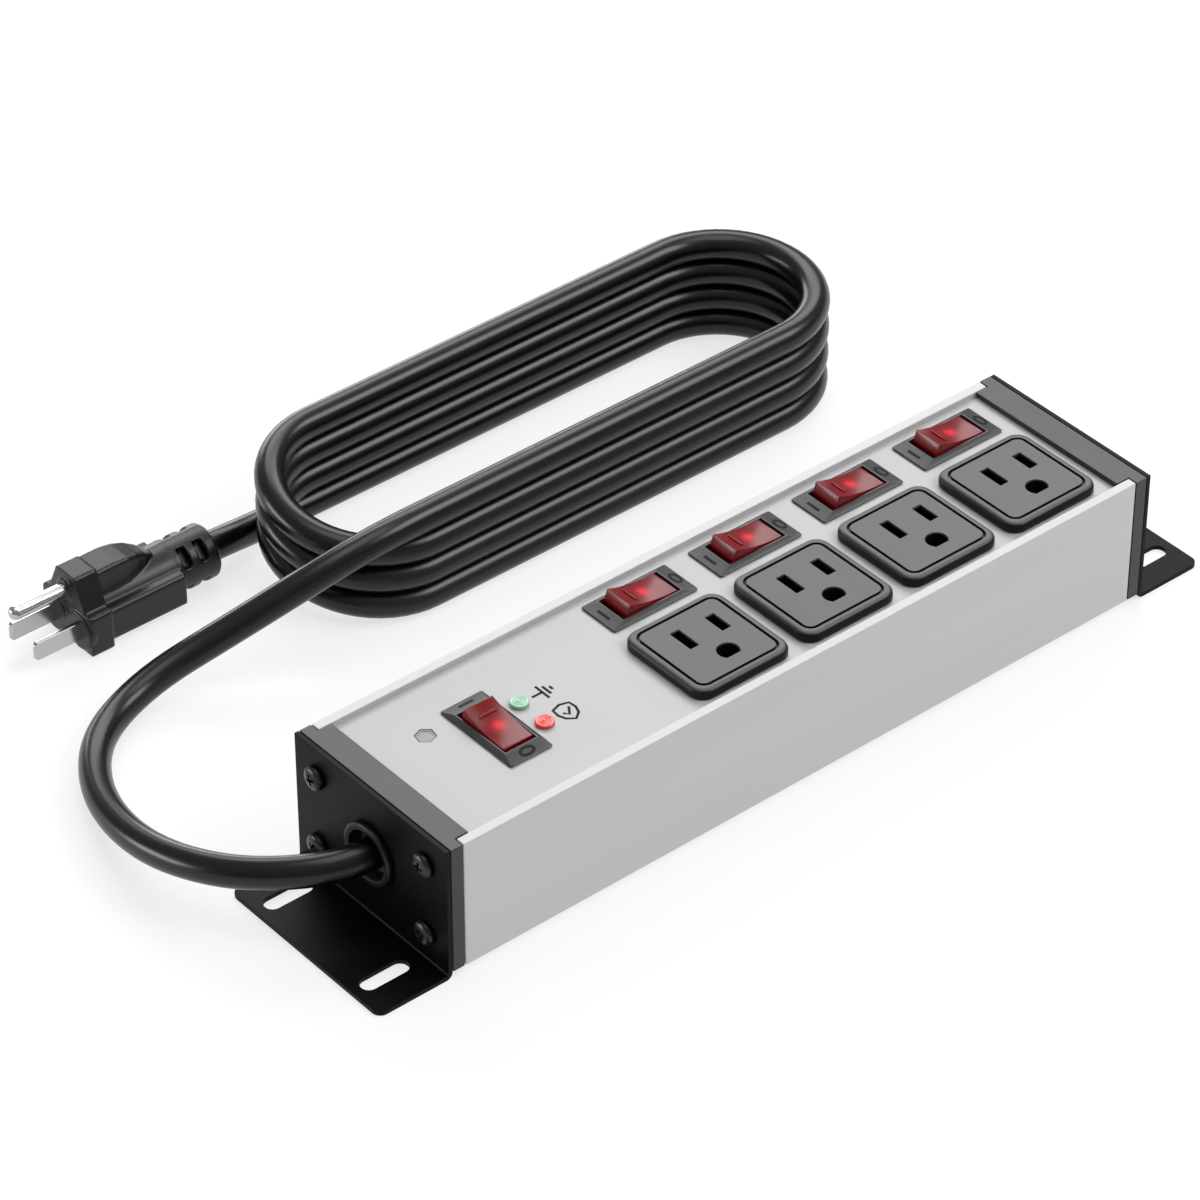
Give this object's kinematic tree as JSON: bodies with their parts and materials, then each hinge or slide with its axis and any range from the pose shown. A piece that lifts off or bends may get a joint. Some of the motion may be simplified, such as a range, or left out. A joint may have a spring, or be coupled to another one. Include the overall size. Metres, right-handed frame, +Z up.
{
  "type": "power strip",
  "caption": "Metal-bodied power strip with rocker-switched outlets in a row, a main switch, slotted end brackets, and a hank of black mains cord with a grounded plug.",
  "frame": {"origin": "centre of the strip's footprint at the level of its feet", "axes": "+X along the strip from the cord end to the far end, +Y towards the coiled cord, +Z up"},
  "size_m": [0.3389, 0.2063, 0.0494],
  "materials": {
    "aluminium_extrusion": "satin anodised",
    "panel_coating": "light grey satin",
    "cap_plastic": "black satin moulded",
    "bracket_coating": "black powder coat",
    "screw_steel": "black oxide",
    "gland_rubber": "matt black",
    "case_plastic": "black moulded",
    "outlet_plastic": "grey reflecting black, satin",
    "contact_brass": "stamped",
    "bezel_plastic": "black semi-gloss",
    "rocker_plastic": "translucent dark red",
    "green_lens": "translucent green",
    "red_lens": "translucent red",
    "plated_steel": "bright nickel plate",
    "circuit_board": "green laminate",
    "varistor_coating": "blue epoxy",
    "inner_wire": "insulated wire",
    "cord_sheath": "glossy black vinyl"
  },
  "bodies": {
    "strip": {"housing_channel": "aluminium_extrusion", "top_panel": "panel_coating", "cord_end_cap": "cap_plastic", "far_end_cap": "cap_plastic", "cord_end_bracket": "bracket_coating", "far_end_bracket": "bracket_coating", "cord_end_screw_1": "screw_steel", "cord_end_screw_2": "screw_steel", "cord_end_screw_3": "screw_steel", "cord_end_screw_4": "screw_steel", "far_end_screw_1": "screw_steel", "far_end_screw_2": "screw_steel", "far_end_screw_3": "screw_steel", "far_end_screw_4": "screw_steel", "cord_gland": "gland_rubber", "cord_clamp": "case_plastic", "outlet_face_1": "outlet_plastic", "outlet_face_2": "outlet_plastic", "outlet_face_3": "outlet_plastic", "outlet_face_4": "outlet_plastic", "outlet_back_1": "case_plastic", "outlet_back_2": "case_plastic", "outlet_back_3": "case_plastic", "outlet_back_4": "case_plastic", "hot_contact_1": "contact_brass", "hot_contact_2": "contact_brass", "hot_contact_3": "contact_brass", "hot_contact_4": "contact_brass", "neutral_bus": "contact_brass", "ground_bus": "contact_brass", "live_bus": "contact_brass", "main_switch_case": "bezel_plastic", "outlet_1_switch_case": "bezel_plastic", "outlet_2_switch_case": "bezel_plastic", "outlet_3_switch_case": "bezel_plastic", "outlet_4_switch_case": "bezel_plastic", "ground_lamp": "green_lens", "surge_lamp": "red_lens", "hex_plug": "plated_steel", "surge_board": "circuit_board", "varistor_1": "varistor_coating", "varistor_2": "varistor_coating", "varistor_3": "varistor_coating", "live_lead": "inner_wire", "neutral_lead": "inner_wire", "ground_lead": "inner_wire", "switched_lead": "inner_wire", "cord_lead": "cord_sheath", "cord_hank": "cord_sheath", "cord_tail": "cord_sheath", "plug_body": "cord_sheath", "plug_neutral_blade": "plated_steel", "plug_live_blade": "plated_steel", "plug_ground_pin": "plated_steel"},
    "main_switch": {"main_rocker": "rocker_plastic"},
    "outlet_1_switch": {"outlet_1_rocker": "rocker_plastic"},
    "outlet_2_switch": {"outlet_2_rocker": "rocker_plastic"},
    "outlet_3_switch": {"outlet_3_rocker": "rocker_plastic"},
    "outlet_4_switch": {"outlet_4_rocker": "rocker_plastic"}
  },
  "joints": [
    {"name": "main_rock", "type": "hinge", "parent": "strip", "child": "main_switch", "pos_m": [-0.0896, 0.0004, 0.043], "axis": [1, 0, 0], "range_deg": [-20, 0]},
    {"name": "outlet_1_rock", "type": "hinge", "parent": "strip", "child": "outlet_1_switch", "pos_m": [-0.0197, 0.0201, 0.043], "axis": [0, 1, 0], "range_deg": [-20, 0]},
    {"name": "outlet_2_rock", "type": "hinge", "parent": "strip", "child": "outlet_2_switch", "pos_m": [0.0211, 0.0201, 0.043], "axis": [0, 1, 0], "range_deg": [-20, 0]},
    {"name": "outlet_3_rock", "type": "hinge", "parent": "strip", "child": "outlet_3_switch", "pos_m": [0.0619, 0.0201, 0.043], "axis": [0, 1, 0], "range_deg": [-20, 0]},
    {"name": "outlet_4_rock", "type": "hinge", "parent": "strip", "child": "outlet_4_switch", "pos_m": [0.1027, 0.0201, 0.043], "axis": [0, 1, 0], "range_deg": [-20, 0]}
  ]
}
